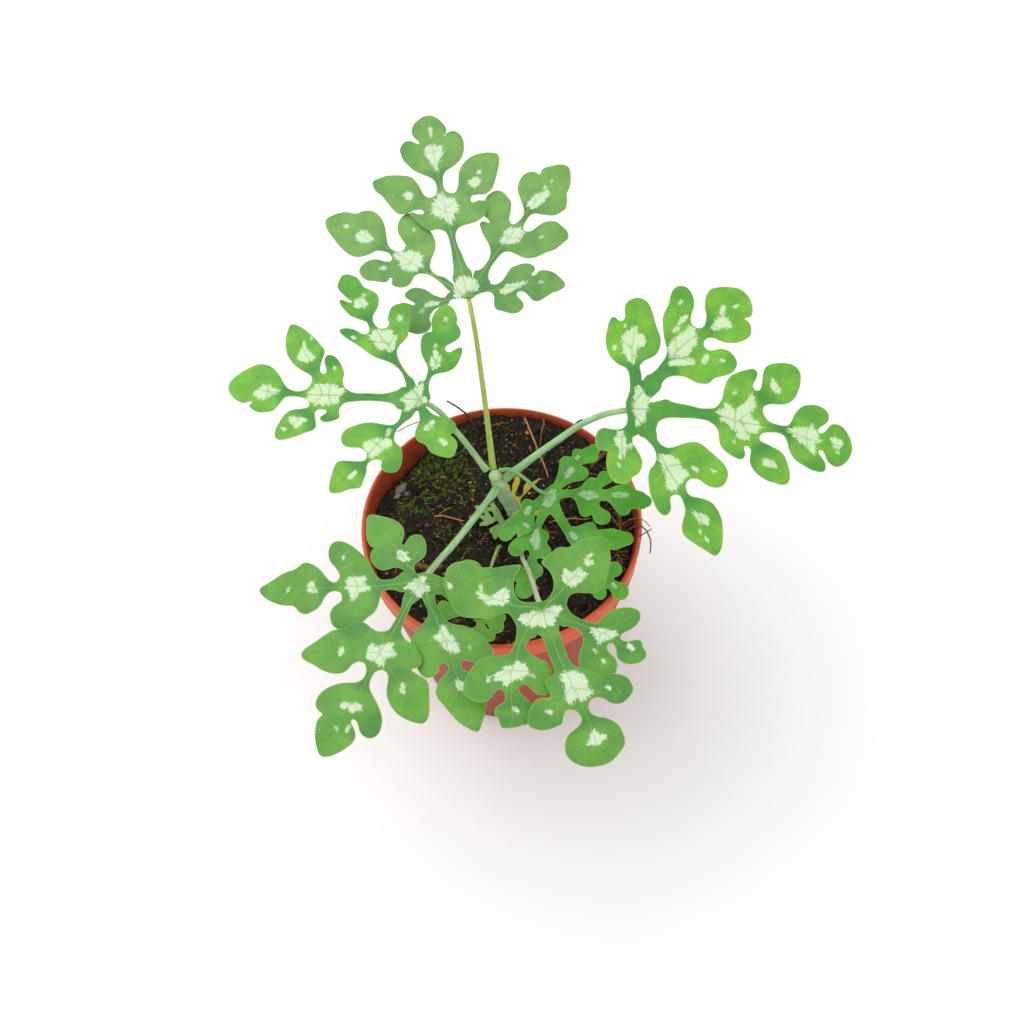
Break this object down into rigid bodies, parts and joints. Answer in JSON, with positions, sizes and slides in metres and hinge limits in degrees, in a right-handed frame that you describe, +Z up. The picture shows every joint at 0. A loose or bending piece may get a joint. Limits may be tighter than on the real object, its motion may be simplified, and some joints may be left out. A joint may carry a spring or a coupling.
{
  "type": "potted adenia",
  "caption": "Young potted adenia: hand-shaped lobed leaves with pale blotches, held on slender stalks over a round plastic grower's pot filled with peat.",
  "frame": {"origin": "middle of the pot's flat underside", "axes": "+Z up along the pot's axis, -Y the side that faces the viewer, +X to the viewer's right"},
  "size_m": [0.187, 0.2249, 0.1376],
  "materials": {
    "pot_plastic": "satin",
    "peat": "matte",
    "stem_bark": "matte",
    "leaf_mid_green": "satin",
    "leaf_bright_green": "satin",
    "leaf_deep_green": "satin",
    "leaf_yellow": "matte",
    "leaf_pale": "satin"
  },
  "bodies": {
    "root": {"pot": "pot_plastic", "soil": "peat", "stem": "stem_bark", "leaf_back": "leaf_mid_green", "leaf_left": "leaf_bright_green", "leaf_right": "leaf_bright_green", "leaf_front_left": "leaf_mid_green", "leaf_front_right": "leaf_mid_green", "leaf_low": "leaf_deep_green", "leaf_withered": "leaf_yellow", "leaf_young": "leaf_pale", "leaf_sprout": "leaf_pale"}
  },
  "joints": []
}
